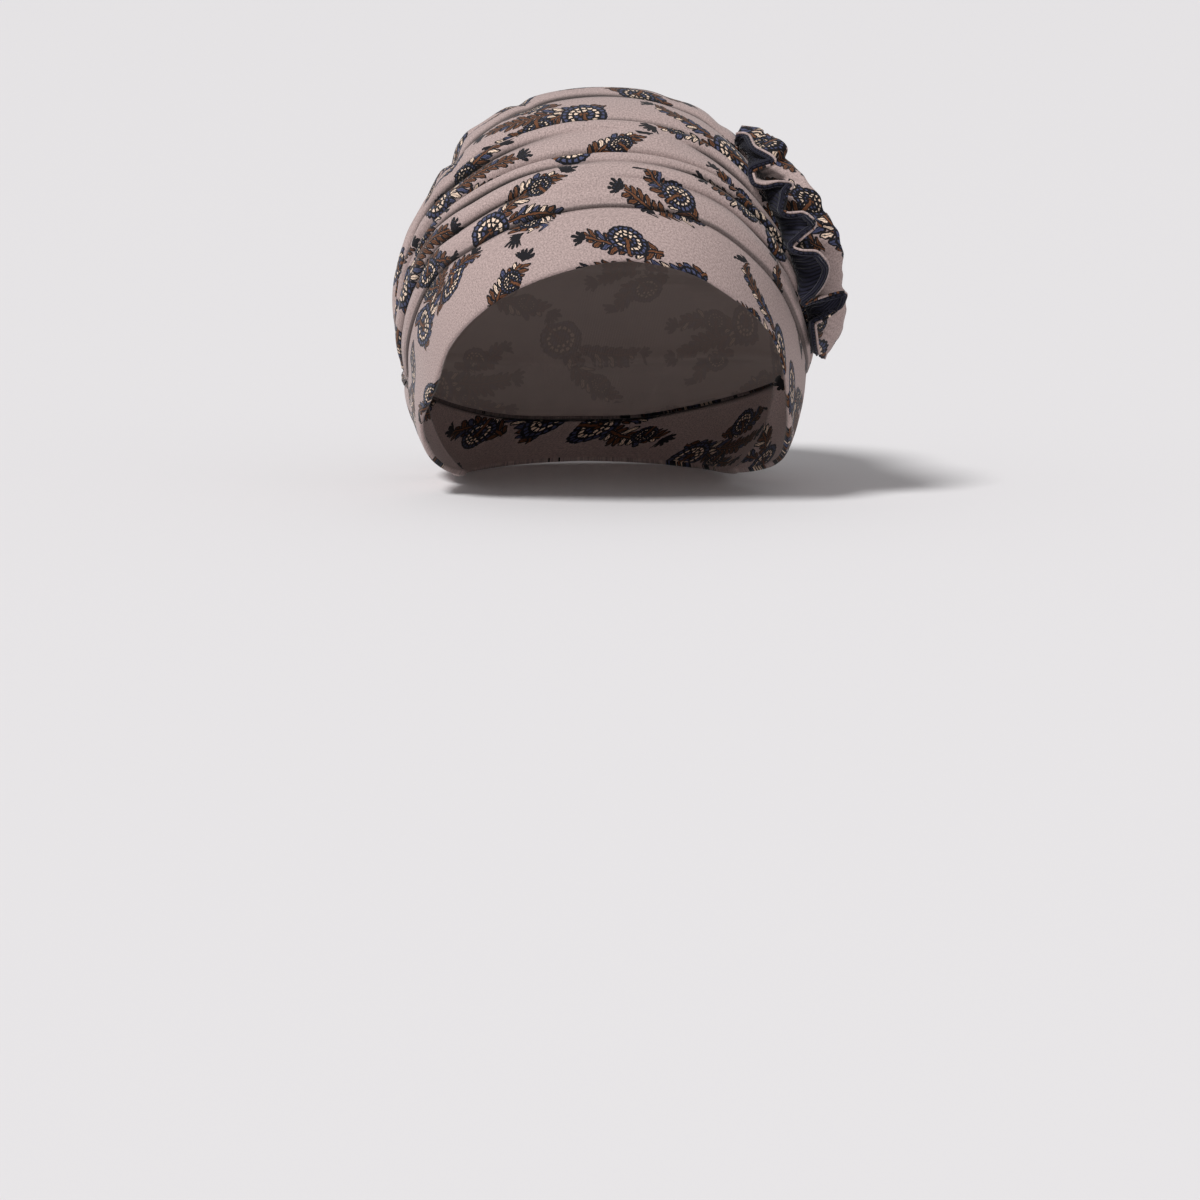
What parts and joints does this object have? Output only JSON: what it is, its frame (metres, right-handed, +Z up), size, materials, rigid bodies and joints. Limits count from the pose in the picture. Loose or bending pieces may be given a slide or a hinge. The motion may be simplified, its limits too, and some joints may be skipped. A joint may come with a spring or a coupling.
{
  "type": "turban headwrap",
  "caption": "Pull-on jersey turban with a plain face band, a crown gathered in folds and a two-faced ruffle over the left side.",
  "frame": {"origin": "middle of the head hollow, midway between the ears, where the head carries the turban", "axes": "-Y is the way the face looks, +X is the wearer's left, where the ruffle is, +Z is up"},
  "size_m": [0.187, 0.2179, 0.1684],
  "materials": {
    "band_jersey": "soft matt jersey, greige with a slate, brown and cream print",
    "crown_jersey": "soft matt jersey, greige with a slate, brown and cream print",
    "ruffle_jersey": "soft matt jersey, greige with a slate, brown and cream print",
    "navy_rib": "matt navy rib knit"
  },
  "bodies": {
    "root": {"head_band": "band_jersey", "crown": "crown_jersey", "ruffle_face": "ruffle_jersey", "ruffle_backing": "navy_rib"}
  },
  "joints": []
}
